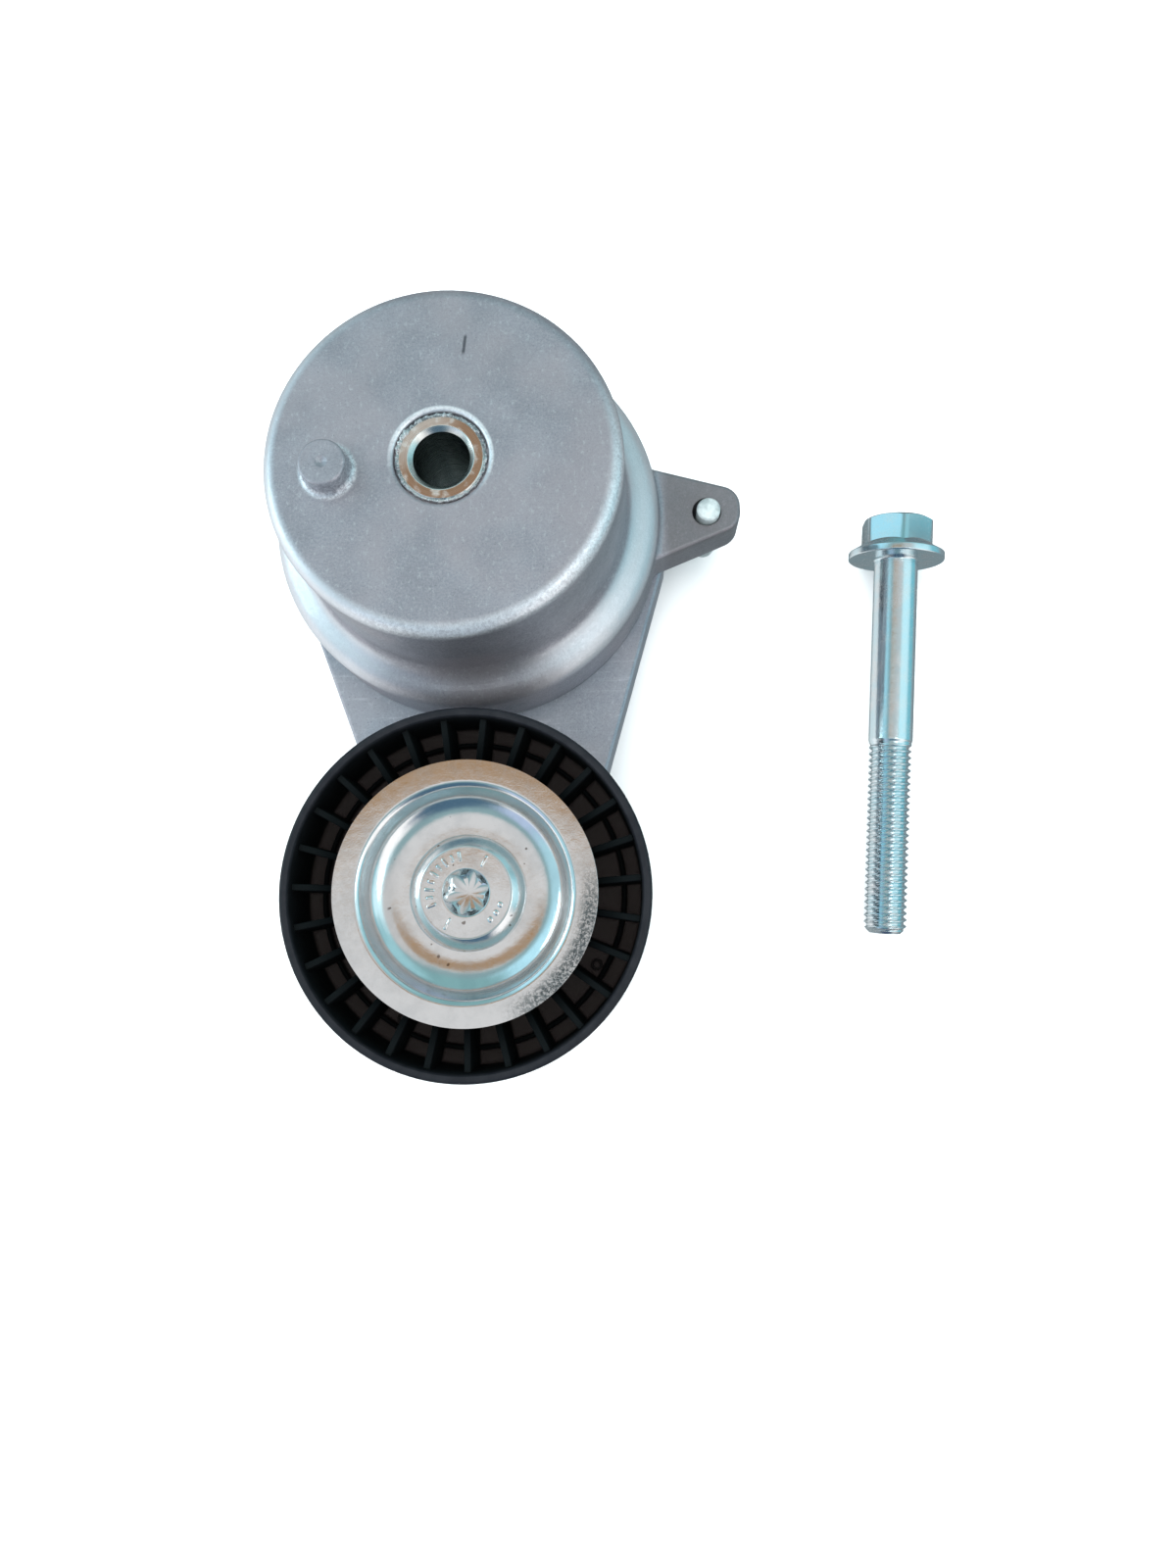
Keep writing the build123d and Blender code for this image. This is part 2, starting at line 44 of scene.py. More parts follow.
# Places and sizes from the CAD model, in millimetres
PULLEY_Y = -82.8
TABLE_Z = -67.0
PIVOT_AT = (0.0, 0.0)
PULLEY_AT = (0.0, PULLEY_Y)
POST_AT, POST_R = (-21.9, -1.4), 4.55
LOCK_PIN_AT = (53.2, -1.0)
CUP_R, RIM_R, RIM_END_Z = 35.2, 42.2, -47.3
RECESS_R = 9.2              # of the shallow recess round the tube's end
EAR_ROOT_X, EAR_TOP_Z = 42.5, -36.5
ARM_BACK_Z = -47.7
TUBE_R, TUBE_BORE_R, TUBE_MOUTH_R, TUBE_END_Z = 8.5, 5.5, 6.4, -0.3
WEB_FRONT_Z, WEB_REAR_Z = -25.0, -28.0
COVER_R = 25.65
HEAD_SEAT_Z, HEAD_TOP_Z = -16.0, -12.5


# ---- Camera ----
CAMERA_AT = (0.033298, -0.090933, 0.207298)
CAMERA_ROLL, CAMERA_YAW, CAMERA_PITCH = 0.0545305, -0.0390807, -0.1263686
camera = bpy.data.objects.new("camera", bpy.data.cameras.new("camera"))
scene.collection.objects.link(camera)
camera.data.sensor_width = 36.0
camera.data.lens = 26.19
camera.data.clip_start = 0.01
camera_turn = (Matrix.Rotation(CAMERA_ROLL, 3, "Z") @ Matrix.Rotation(CAMERA_YAW, 3, "Y")
               @ Matrix.Rotation(CAMERA_PITCH, 3, "X")).transposed()
camera.matrix_world = Matrix.Translation(CAMERA_AT) @ camera_turn.to_4x4()
scene.camera = camera


# ---- Materials ----
# What wear and dirt add to the base colours, with painted highlights, painted shade and a painted
# tan reflection
RUB_AND_SHEEN, EAR_SHADE, SCRATCH = (0.90, 0.94, 0.97), (0.17, 0.155, 0.155), (0.05, 0.05, 0.06)
GRIT, DRAG_MARK = (0.72, 0.74, 0.78), (0.80, 0.82, 0.86)
SCUFF, RUSTY_DOT = (0.16, 0.165, 0.17), (0.12, 0.08, 0.06)
TAN_REFLECTION, BORE_SHADE = (0.135, 0.077, 0.045), (0.10, 0.155, 0.165)
RIB_AND_WALL_SHADE, DUSTY_FLOOR = (0.0028, 0.0038, 0.0042), (0.030, 0.025, 0.024)
SCRATCH_AT, SCRATCH_SLANT = (5.4, 22.4), 0.16


def node(tree, kind, inputs=None, **settings):
    """Adds a shader node. An input is a value, or the socket that feeds it."""
    made = tree.nodes.new("ShaderNode" + kind)
    for name, value in settings.items():
        setattr(made, name, value)
    for name, value in (inputs or {}).items():
        feed(tree, made.inputs[name], value)
    return made


def feed(tree, socket, value):
    if isinstance(value, bpy.types.NodeSocket):
        tree.links.new(value, socket)
    else:
        socket.default_value = value


def calc(tree, operation, *values, clamp=False):
    made = node(tree, "Math", operation=operation, use_clamp=clamp)
    for socket, value in zip(made.inputs, values):
        feed(tree, socket, value)
    return made.outputs[0]


def product(tree, first, *others):
    for value in others:
        first = calc(tree, "MULTIPLY", first, value)
    return first


def ramp(tree, value, low, high, to_low=0.0, to_high=1.0):
    """A smooth step of value between low and high."""
    made = node(tree, "MapRange", {
        "Value": value, "From Min": low, "From Max": high, "To Min": to_low, "To Max": to_high,
    }, interpolation_type="SMOOTHSTEP")
    return made.outputs[0]


def band(tree, value, low, full, still_full, high):
    """1 between full and still_full, easing to 0 at low and at high."""
    return product(tree, ramp(tree, value, low, full),
                   ramp(tree, value, still_full, high, 1.0, 0.0))


def mix(tree, amount, first, second):
    """A colour between first and second."""
    made = node(tree, "Mix", data_type="RGBA")
    for index, value in ((0, amount), (6, first), (7, second)):
        if not isinstance(value, bpy.types.NodeSocket) and index and len(value) == 3:
            value = (*value, 1.0)
        feed(tree, made.inputs[index], value)
    return made.outputs[2]


def place(tree):
    """The point on the piece in millimetres, in the part's frame."""
    spot = node(tree, "TexCoord").outputs["Object"]
    return node(tree, "VectorMath", {"Vector": spot, "Scale": 1 / MM}, operation="SCALE").outputs[0]


def speckle(tree, spot, per_mm, detail=2.0, roughness=0.5, stretch=None):
    """Noise from 0 to 1, mostly near 0.5."""
    if stretch:
        spot = node(tree, "VectorMath", {0: spot, 1: stretch}, operation="MULTIPLY").outputs[0]
    made = node(tree, "TexNoise", {
        "Vector": spot, "Scale": per_mm, "Detail": detail, "Roughness": roughness,
    })
    return made.outputs["Fac"]


def around(tree, spot, centre):
    """Distance from an upright axis in millimetres, and the angle round it."""
    x, y, _ = split(tree, spot)
    dx, dy = calc(tree, "SUBTRACT", x, centre[0]), calc(tree, "SUBTRACT", y, centre[1])
    reach = calc(tree, "SQRT", calc(tree, "ADD", product(tree, dx, dx), product(tree, dy, dy)))
    return reach, calc(tree, "ARCTAN2", dy, dx)


def split(tree, spot):
    return node(tree, "SeparateXYZ", {0: spot}).outputs[:3]


def bump(tree, height, distance_mm, strength=1.0, under=None):
    made = node(tree, "Bump", {"Height": height, "Distance": distance_mm * MM,
                               "Strength": strength})
    if under is not None:
        tree.links.new(under, made.inputs["Normal"])
    return made.outputs[0]


def material(name, paint, **constants):
    """A Principled material: constants are set on the shader, and paint feeds what varies."""
    made = bpy.data.materials.new(name)
    made.use_nodes = True
    tree = made.node_tree
    shader = tree.nodes["Principled BSDF"]
    for label, value in constants.items():
        shader.inputs[label.replace("_", " ")].default_value = value
    for label, value in paint(tree, place(tree)).items():
        feed(tree, shader.inputs[label], value)
    return made


def cast_metal(light, dark, extra=None, grain=1.0):
    """Die-cast aluminium: a faintly cloudy tone, fine flecks and pits, and a pebbled skin."""
    def paint(tree, spot):
        clouds = speckle(tree, spot, 0.09, 4.0, 0.6)
        flecks = speckle(tree, spot, 2.1, 4.0, 0.75)
        tone = calc(tree, "ADD", product(tree, clouds, 0.45), product(tree, flecks, 0.62))
        colour = mix(tree, ramp(tree, tone, 0.36, 0.72), dark, light)
        blush = ramp(tree, speckle(tree, spot, 0.05, 2.0), 0.42, 0.62)
        colour = mix(tree, product(tree, blush, 0.5), colour,
                     (light[0] * 1.02, light[1] * 0.93, light[2] * 0.90))
        grit = ramp(tree, speckle(tree, spot, 1.15, 5.0, 0.85, (1.0, 0.55, 1.0)), 0.54, 0.66)
        colour = mix(tree, product(tree, grit, 0.28), colour, GRIT)
        pits = ramp(tree, speckle(tree, spot, 2.9, 2.0), 0.64, 0.72)
        colour = mix(tree, product(tree, pits, 0.45), colour, tuple(c * 0.4 for c in dark))
        rough = ramp(tree, flecks, 0.3, 0.75, 0.50, 0.33)
        grains = speckle(tree, spot, 1.5, 4.0, 0.7)
        waves = speckle(tree, spot, 0.16, 2.0)
        normal = bump(tree, grains, 0.12 * grain, 0.6, bump(tree, waves, 0.5 * grain, 0.35))
        found = {"Base Color": colour, "Roughness": rough, "Normal": normal}
        return extra(tree, spot, found) if extra else found
    return paint


def facing(tree, angle, toward, narrow, wide):
    """How near an angle round the axis is to one bearing, from 1 inside narrow to 0 past wide."""
    off = calc(tree, "COSINE", calc(tree, "SUBTRACT", angle, radians(toward)))
    return ramp(tree, off, cos(radians(wide)), cos(radians(narrow)))


def cup_wear_and_sheen(tree, spot, found):
    """The housing's painted highlights on its edges, lip and shoulder, partly rubbed wear, painted
    shade on its ear, and its one handling mark.
    """
    x, y, z = split(tree, spot)
    reach, angle = around(tree, spot, PIVOT_AT)
    edge = product(tree, ramp(tree, reach, CUP_R - 3.2, CUP_R - 1.0), ramp(tree, z, -4.2, -1.0))
    chips = ramp(tree, speckle(tree, spot, 1.6, 5.0, 0.8), 0.36, 0.62)
    # Painted highlights on the cup's top edge: flecked like rubbed wear to the south-east, plain to
    # the west
    rubbed_and_highlit_edge = product(tree, edge, facing(tree, angle, -62, 35, 105),
                     calc(tree, "ADD", product(tree, chips, 0.45), 0.35))
    west_edge_highlight = product(tree, edge, facing(tree, angle, 190, 40, 95))
    # Painted highlight: the rim's lower edge is lighter on the side away from the ear
    rim_lip_highlight = product(tree, ramp(tree, reach, RIM_R - 0.6, RIM_R - 0.1),
                  ramp(tree, z, RIM_END_Z + 0.4, RIM_END_Z + 0.9, 1.0, 0.0),
                  facing(tree, angle, 245, 15, 45))
    # Painted highlight on the step of the shoulder, except on the side toward the pulley
    shoulder_highlight = product(tree, band(tree, z, -35.5, -32.5, -28.0, -26.5),
                   ramp(tree, reach, CUP_R + 0.4, CUP_R + 1.6),
                   calc(tree, "SUBTRACT", 1.0, facing(tree, angle, 268, 8, 38)))
    # Painted highlight on the far side of the rounded lip of the tube's recess, and the post's root
    # is scuffed
    recess_highlight = product(tree, band(tree, reach, *(RECESS_R + d for d in (-0.05, 0.3, 0.8, 1.3))),
                     facing(tree, angle, 75, 70, 135),
                     calc(tree, "ADD", product(tree, chips, 0.3), 0.45))
    post, _ = around(tree, spot, POST_AT)
    root = product(tree, band(tree, post, *(POST_R + d for d in (-0.25, 0.15, 0.65, 1.65))),
                   chips)
    # light gathers the painted highlights and the scuffed post root, all mixed toward one pale
    # blue-white
    light = rubbed_and_highlit_edge
    for shine in (product(tree, west_edge_highlight, 0.5), recess_highlight, product(tree, root, 0.6),
                  product(tree, rim_lip_highlight, 0.7), product(tree, shoulder_highlight, 0.45)):
        light = calc(tree, "MAXIMUM", light, shine)
    # Painted shade darkens the ear beyond its root, most toward its top
    shaded_ear = product(tree, ramp(tree, x, EAR_ROOT_X, EAR_ROOT_X + 2.5),
                    ramp(tree, z, EAR_TOP_Z - 3.5, EAR_TOP_Z - 0.4, 0.6, 1.0))
    colour = mix(tree, product(tree, shaded_ear, 0.6), found["Base Color"], EAR_SHADE)
    colour = mix(tree, light, colour, RUB_AND_SHEEN)
    # One short dark scratch on the mounting face, a little aslant
    along = calc(tree, "SUBTRACT", y, SCRATCH_AT[1])
    across = calc(tree, "SUBTRACT", calc(tree, "SUBTRACT", x, SCRATCH_AT[0]),
                  product(tree, along, SCRATCH_SLANT))
    scratch = product(tree, ramp(tree, calc(tree, "ABSOLUTE", along), 1.4, 2.3, 1.0, 0.0),
                      ramp(tree, calc(tree, "ABSOLUTE", across), 0.14, 0.44, 1.0, 0.0),
                      ramp(tree, z, -0.5, -0.2))
    found["Base Color"] = mix(tree, product(tree, scratch, 0.8), colour, SCRATCH)
    found["Roughness"] = calc(tree, "SUBTRACT", found["Roughness"], product(tree, light, 0.10))
    return found


def arm_marks(tree, spot, found):
    """Faint pale drag marks on the arm's flat back."""
    _, _, z = split(tree, spot)
    drag = speckle(tree, spot, 1.0, 3.0, 0.6, (0.10, 0.9, 0.3))
    marks = product(tree, ramp(tree, drag, 0.56, 0.72),
                    ramp(tree, z, ARM_BACK_Z - 0.4, ARM_BACK_Z - 0.1))
    found["Base Color"] = mix(tree, product(tree, marks, 0.22), found["Base Color"], DRAG_MARK)
    return found


def plated(tint, dull, rough, ripple=0.04, extra=None):
    """Bright plate: a faint stain in its tint, a fine uneven haze and a soft ripple."""
    def paint(tree, spot):
        stain = speckle(tree, spot, 0.22, 4.0, 0.6)
        colour = mix(tree, ramp(tree, stain, 0.35, 0.7), tint, dull)
        grit = speckle(tree, spot, 4.0, 2.0, 0.6)
        haze = calc(tree, "ADD", product(tree, grit, 0.6), product(tree, stain, 0.4))
        normal = bump(tree, speckle(tree, spot, 0.5, 2.0), ripple, 0.6,
                      bump(tree, grit, 0.012, 0.5))
        found = {"Base Color": colour, "Normal": normal,
                 "Roughness": ramp(tree, haze, 0.35, 0.7, rough * 0.75, rough * 1.5)}
        return extra(tree, spot, found) if extra else found
    return paint


def cover_wear(tree, spot, found):
    """Scuffs on the cover's flat edge from three to five o'clock, and tiny dark dots inside."""
    reach, angle = around(tree, spot, PULLEY_AT)
    where = product(tree, band(tree, reach, 21.6, 24.0, COVER_R - 0.15, COVER_R + 0.25),
                    facing(tree, angle, -32, 18, 46))
    chips = ramp(tree, speckle(tree, spot, 1.7, 5.0, 0.9), 0.44, 0.53)
    scuff = product(tree, where, calc(tree, "ADD", product(tree, chips, 0.8), 0.2))
    colour = mix(tree, scuff, found["Base Color"], SCUFF)
    dots = product(tree, ramp(tree, speckle(tree, spot, 0.55, 1.0), 0.735, 0.75),
                   ramp(tree, reach, 15.8, 16.4, 1.0, 0.0))
    # Two specks below and left of the bolt's head
    for centre, size in (((-6.3, PULLEY_Y - 12.0), 0.42), ((-7.6, PULLEY_Y - 9.6), 0.2)):
        away, _ = around(tree, spot, centre)
        dots = calc(tree, "MAXIMUM", dots, ramp(tree, away, size * 0.5, size, 1.0, 0.0))
    found["Base Color"] = mix(tree, product(tree, dots, 0.7), colour, RUSTY_DOT)
    found["Roughness"] = calc(tree, "ADD", found["Roughness"], product(tree, scuff, 0.3))
    return found


def tube_end_sheen_and_bore_shade(tree, spot, found):
    """A painted tan reflection on the tube's end face, a bright mouth, and painted shade in the
    bore.
    """
    reach, angle = around(tree, spot, PIVOT_AT)
    _, _, z = split(tree, spot)
    end = product(tree, ramp(tree, z, TUBE_END_Z - 0.06, TUBE_END_Z - 0.01),
                  ramp(tree, reach, TUBE_MOUTH_R + 0.02, TUBE_MOUTH_R + 0.2))
    patchy = ramp(tree, speckle(tree, spot, 0.35, 3.0, 0.6), 0.28, 0.5, 0.55, 1.0)
    # The painted reflection is a little weaker round the north-west
    turned_away = calc(tree, "COSINE", calc(tree, "ADD", angle, radians(50)))
    painted_tan = product(tree, end, patchy, ramp(tree, turned_away, -1.0, -0.2, 0.8, 1.0))
    colour = mix(tree, painted_tan, found["Base Color"], TAN_REFLECTION)
    # Painted shade: the bore's wall is a dark teal
    bore = ramp(tree, reach, TUBE_BORE_R - 0.1, TUBE_BORE_R + 0.1, 1.0, 0.0)
    found["Base Color"] = mix(tree, bore, colour, BORE_SHADE)
    # Where the tan reflection is painted, the metal is partly diffuse
    found["Metallic"] = calc(tree, "SUBTRACT", 1.0, product(tree, painted_tan, 0.8))
    return found


def turned(tint, rough, centre, extra=None):
    """Turned steel: fine rings round its axis."""
    def paint(tree, spot):
        reach, _ = around(tree, spot, centre)
        _, _, z = split(tree, spot)
        rings = node(tree, "TexNoise", {
            "Vector": node(tree, "CombineXYZ", {"X": reach, "Z": z}).outputs[0],
            "Scale": 5.0, "Detail": 3.0,
        }).outputs["Fac"]
        haze = speckle(tree, spot, 0.6, 3.0)
        colour = mix(tree, ramp(tree, haze, 0.3, 0.7), tint, tuple(c * 0.82 for c in tint))
        found = {"Base Color": colour, "Normal": bump(tree, rings, 0.02, 0.5),
                 "Roughness": ramp(tree, rings, 0.3, 0.7, rough * 0.8, rough * 1.3)}
        return extra(tree, spot, found) if extra else found
    return paint


def pocket_shade_and_dust(tree, spot, found):
    """The pulley's pockets: painted shade on the ribs and walls, and a brownish dusty floor."""
    reach, _ = around(tree, spot, PULLEY_AT)
    _, _, z = split(tree, spot)
    inside = band(tree, reach, 24.4, 24.7, 33.9, 34.3)
    dusty = product(tree, inside, ramp(tree, z, WEB_FRONT_Z + 0.4, WEB_FRONT_Z + 1.4, 1.0, 0.0))
    # Painted shade: the ribs and walls inside the rim are darker than the rim
    colour = mix(tree, inside, found["Base Color"], RIB_AND_WALL_SHADE)
    found["Base Color"] = mix(tree, dusty, colour, DUSTY_FLOOR)
    found["Roughness"] = calc(tree, "ADD", found["Roughness"], product(tree, inside, 0.28))
    # A metal of this dark colour mirrors less than nylon does, which dims the ribs' tops
    found["Metallic"] = product(tree, calc(tree, "SUBTRACT", inside, dusty),
                                ramp(tree, reach, 25.0, 33.5, 0.85, 0.3))
    return found


def moulded(light, dark, rough, grain=0.04, extra=None):
    """Moulded plastic or rubber: a fine matt skin with slightly cloudy gloss."""
    def paint(tree, spot):
        cloud = speckle(tree, spot, 0.35, 4.0, 0.6)
        colour = mix(tree, ramp(tree, cloud, 0.35, 0.7), dark, light)
        skin = speckle(tree, spot, 2.4, 3.0, 0.6)
        found = {"Base Color": colour, "Normal": bump(tree, skin, grain, 0.5),
                 "Roughness": ramp(tree, cloud, 0.3, 0.7, rough * 0.85, rough * 1.15)}
        return extra(tree, spot, found) if extra else found
    return paint


METAL = {"Metallic": 1.0}
# The looks, named as the CAD model's material slots are, with a few extra ones
finish = {
    "cast_aluminium": material("cast_aluminium", cast_metal(
        (0.365, 0.362, 0.40), (0.25, 0.252, 0.28), cup_wear_and_sheen), Metallic=0.75),
    "arm_casting": material("arm_casting", cast_metal(
        (0.40, 0.425, 0.48), (0.29, 0.31, 0.355), arm_marks, 0.8), Metallic=0.75),
    "zinc_steel": material("zinc_steel", plated(
        (0.86, 0.865, 0.87), (0.78, 0.79, 0.80), 0.13, 0.03, cover_wear), **METAL),
    "blue_zinc": material("blue_zinc", plated(
        (0.68, 0.81, 0.85), (0.79, 0.82, 0.83), 0.20), **METAL),
    "turned_steel": material("turned_steel", turned(
        (0.86, 0.87, 0.84), 0.26, PIVOT_AT, tube_end_sheen_and_bore_shade), **METAL),
    "bearing_steel": material("bearing_steel", turned(
        (0.72, 0.73, 0.75), 0.18, PULLEY_AT), **METAL),
    "spring_steel": material("spring_steel", plated(
        (0.16, 0.16, 0.17), (0.09, 0.09, 0.10), 0.42), **METAL),
    "staked_metal": material("staked_metal", cast_metal(
        (0.92, 0.92, 0.92), (0.16, 0.17, 0.18), None, 3.0), Metallic=0.95),
    "pin_steel": material("pin_steel", plated(
        (0.60, 0.67, 0.67), (0.24, 0.29, 0.30), 0.42), Metallic=0.35),
    "black_nylon": material("black_nylon", moulded(
        (0.0110, 0.0117, 0.0145), (0.0075, 0.0084, 0.0110), 0.42, extra=pocket_shade_and_dust),
        Specular_IOR_Level=0.2),
    "bearing_polymer": material("bearing_polymer", moulded(
        (0.34, 0.28, 0.20), (0.26, 0.21, 0.15), 0.5)),
    "friction_polymer": material("friction_polymer", moulded(
        (0.06, 0.045, 0.035), (0.035, 0.028, 0.022), 0.6)),
    "seal_rubber": material("seal_rubber", moulded(
        (0.035, 0.022, 0.018), (0.022, 0.014, 0.012), 0.55)),
}


# ---- Mesh helpers. Points are in millimetres, in the part's frame ----
def eased(corners, closed=True, per_turn=28):
    """A path through corners (x, y, radius), with each corner rounded by an arc."""
    path, count = [], len(corners)
    for i, (x, y, radius) in enumerate(corners):
        here = Vector((x, y))
        if radius <= 0 or (not closed and i in (0, count - 1)):
            path.append(here)
            continue
        back = (Vector(corners[i - 1][:2]) - here).normalized()
        ahead = (Vector(corners[(i + 1) % count][:2]) - here).normalized()
        angle = back.angle(ahead)
        centre = here + (back + ahead).normalized() * (radius / sin(angle / 2))
        first = here + back * (radius / tan(angle / 2)) - centre
        last = here + ahead * (radius / tan(angle / 2)) - centre
        sweep = pi - angle
        steps = max(2, round(sweep / FULL_TURN * per_turn))
        for k in range(steps + 1):
            t = k / steps * sweep
            path.append(centre + (first * sin(sweep - t) + last * sin(t)) / sin(sweep))
    return path


def banded(path, thickness, ends=5):
    """The outline of a sheet of this thickness along a path, with rounded ends."""
    half, sides = thickness / 2, ([], [])
    for i, here in enumerate(path):
        along = (path[min(i + 1, len(path) - 1)] - path[max(i - 1, 0)]).normalized()
        across = Vector((-along.y, along.x)) * half
        sides[0].append(here + across)
        sides[1].append(here - across)
    caps = []
    for here, near, sign in ((path[-1], path[-2], 1), (path[0], path[1], -1)):
        out = (here - near).normalized()
        across = Vector((-out.y, out.x)) * half
        cap = []
        for k in range(1, ends):
            t = pi * k / ends
            cap.append(here + across * cos(t) + out * (sin(t) - 1) * half * 0.9)
        caps.append(cap)
    return sides[0] + caps[0] + sides[1][::-1] + caps[1]


def spun(profile, centre, steps, shape=None):
    """Rows of points: each profile point (radius, height) turned about an upright axis."""
    rows = []
    for r, z in profile:
        row = []
        for k in range(steps):
            a = FULL_TURN * k / steps
            rr, zz = shape(r, z, a) if shape else (r, z)
            row.append((centre[0] + rr * cos(a), centre[1] + rr * sin(a), zz))
        rows.append(row)
    return rows


def woven(rows, closed=True):
    """Vertices and faces of a grid whose columns close on themselves."""
    width = len(rows[0])
    points = [p for row in rows for p in row]
    faces = []
    for i in range(len(rows) if closed else len(rows) - 1):
        j = (i + 1) % len(rows)
        for k in range(width):
            n = (k + 1) % width
            faces.append((i * width + k, i * width + n, j * width + n, j * width + k))
    return points, faces


SAME_POINT = 0.002


def piece(name, grids, body, look, replaced, sharp):
    """Makes one named piece from its grids, with clean normals, and fastens it to a body.

    Edges sharper than sharp degrees stay hard.
    """
    bm = bmesh.new()
    for points, faces in grids:
        corners = [bm.verts.new(Vector(p) * MM) for p in points]
        for face in faces:
            bm.faces.new([corners[i] for i in face])
    bmesh.ops.remove_doubles(bm, verts=bm.verts, dist=SAME_POINT * MM)
    bmesh.ops.recalc_face_normals(bm, faces=bm.faces)
    mesh = bpy.data.meshes.new(name)
    bm.to_mesh(mesh)
    bm.free()
    mesh.shade_smooth()
    mesh.set_sharp_from_angle(angle=radians(sharp))
    mesh.materials.append(finish[look])
    obj = bpy.data.objects.new(name, mesh)
    scene.collection.objects.link(obj)
    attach(obj, body)
    if replaced:
        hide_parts(*replaced)
    return obj


def step_up(value, low, high):
    """A smooth step from 0 at low to 1 at high."""
    t = min(1.0, max(0.0, (value - low) / (high - low)))
    return t * t * (3 - 2 * t)


# ---- Dust cover: pressed sheet with a smooth bowl and a flat edge ----
COVER_SHEET = 1.0
COVER_EDGE_Z = HEAD_SEAT_Z + 5.1
cover_path = eased((
    (5.1, HEAD_SEAT_Z - COVER_SHEET / 2, 0), (13.9, HEAD_SEAT_Z - COVER_SHEET / 2, 17.0),
    (16.9, HEAD_SEAT_Z - 0.05, 7.5), (19.25, HEAD_SEAT_Z + 1.2, 4.2),
    (21.07, COVER_EDGE_Z, 1.0), (COVER_R, COVER_EDGE_Z, 0)), closed=False, per_turn=84)
piece("dust_cover_pressed", [woven(spun(banded(cover_path, COVER_SHEET), PULLEY_AT, steps=224))],
      "arm", "zinc_steel", ["dust_cover"], sharp=40)


# ---- Pulley bolt: flange, bevelled head, raised marks and a six-lobe socket ----
SOCKET_TURN = radians(12.0)
SOCKET_EDGE_R = 4.7
SOCKET_CONE = 0.85          # how fast the countersink narrows with depth
MARK_RISE = 0.13
MARK_RING_R = 7.1


def socket_outline(angle):
    """Distance from the bolt's axis to the socket's wall."""
    lobe = cos(6 * (angle - SOCKET_TURN))
    return 3.78 + 0.62 * lobe + 0.05 * cos(12 * (angle - SOCKET_TURN))


def apart(turn, at):
    """The angle between two bearings, without its sign."""
    return abs((turn - at + pi) % FULL_TURN - pi)


def head_marks(r, angle):
    """Generic raised marks on the bolt's head: two long dashes, an arc of ticks, three dots."""
    turn = (angle + pi) % FULL_TURN - pi
    rise = 0.0
    for at in (57.0, 237.0):
        off = apart(turn, radians(at)) * r
        rise = max(rise, step_up(-off, -0.24, -0.12) * step_up(-abs(r - 7.0), -1.15, -0.95))
    for k in range(9):
        off = apart(turn, radians(98.0 + 12.5 * k)) * r
        half = 0.55 if k % 2 else 0.85
        rise = max(rise, step_up(-off, -0.27, -0.13)
                   * step_up(-abs(r - MARK_RING_R), -half - 0.12, -half))
    for k in range(3):
        at = radians(-50.0 + 14.0 * k)
        off = hypot(r * cos(turn) - MARK_RING_R * cos(at), r * sin(turn) - MARK_RING_R * sin(at))
        rise = max(rise, step_up(-off, -0.52, -0.34))
    return rise * MARK_RISE


def bolt_surface(r, z, angle):
    if z > HEAD_TOP_Z - 0.01 and 4.75 < r < 8.8:
        return r, HEAD_TOP_Z - MARK_RISE + head_marks(r, angle)
    if r < SOCKET_EDGE_R and HEAD_TOP_Z - 4.6 < z < HEAD_TOP_Z - 0.05:
        cone = SOCKET_EDGE_R - (HEAD_TOP_Z - z) * SOCKET_CONE
        return max(socket_outline(angle), cone), z
    return r, z


top_z = HEAD_TOP_Z - MARK_RISE
bolt_outline = eased((
    (0, HEAD_SEAT_Z - 30, 0), (4, HEAD_SEAT_Z - 30, 0), (5, HEAD_SEAT_Z - 29, 0),
    (5, HEAD_SEAT_Z, 0), (11.4, HEAD_SEAT_Z, 0.15), (11.4, HEAD_SEAT_Z + 1.4, 0.35),
    (9.0, HEAD_TOP_Z - 0.05, 0.3), (8.75, top_z, 0)), closed=False)
bolt_outline += [(8.7 - 0.16 * k, HEAD_TOP_Z) for k in range(25)]
bolt_outline += [(4.72, top_z), (4.6, HEAD_TOP_Z - 0.2)]
bolt_outline += [(4.3, HEAD_TOP_Z - 0.25 - 0.15 * k) for k in range(8)]
bolt_outline += [(4.2, HEAD_TOP_Z - 2.5), (4.2, HEAD_TOP_Z - 4.5), (3.0, HEAD_TOP_Z - 4.75),
                 (0, HEAD_TOP_Z - 5.0)]
piece("pulley_bolt_turned",
      [woven(spun(bolt_outline, PULLEY_AT, steps=384, shape=bolt_surface), closed=False)],
      "arm", "zinc_steel", ["pulley_bolt"], sharp=28)


# ---- Pulley: moulded rim, ribs, middle ring and hub in one closed skin ----
RIBS = 27
RIB_PITCH = FULL_TURN / RIBS
RIB_PHASE = radians(2.0)
RIB_END_R, HUB_WALL_R = 33.95, 24.5
# Which way the side looks, then the heights of its web, ribs' tops, rim's end and hub's end
PULLEY_SIDES = ((1, WEB_FRONT_Z, -12.0, -10.0, -13.0), (-1, WEB_REAR_Z, -34.0, -36.0, -29.6))
# A rib's side: distance from its middle, and height over the web or drop from its top
RIB_CREST = ((0.0, 0.0), (0.42, 0.0), (0.54, 0.03), (0.62, 0.12), (0.65, 0.3))
RIB_FOOT = ((0.76, 0.6), (0.95, 0.2), (1.25, 0.0))
